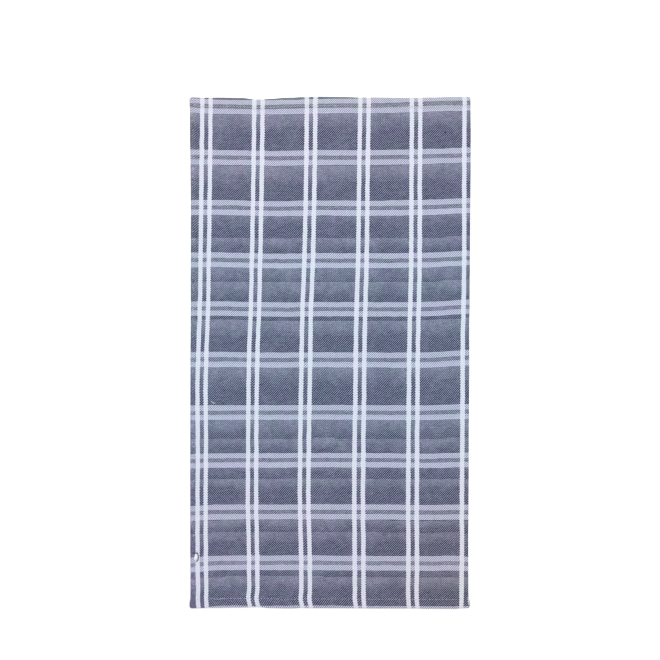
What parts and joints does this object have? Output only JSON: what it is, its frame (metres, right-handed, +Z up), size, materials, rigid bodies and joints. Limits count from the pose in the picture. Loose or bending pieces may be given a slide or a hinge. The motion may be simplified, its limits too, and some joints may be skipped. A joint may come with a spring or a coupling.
{
  "type": "tea towel",
  "caption": "Flat woven cotton tea towel in a dark blue-grey check with pale stripes and stitched end hems, lying open, for drying dishes or covering food.",
  "frame": {"origin": "under the middle of the towel, on the surface it lies on", "axes": "+Z up out of the towel's face, +Y along the towel to its far hem, +X across it to its right selvedge"},
  "size_m": [0.3846, 0.7004, 0.003],
  "materials": {
    "checked_cotton": "dry matt cotton twill, blue-grey ground with pale check stripes"
  },
  "bodies": {
    "root": {"towel": "checked_cotton"}
  },
  "joints": []
}
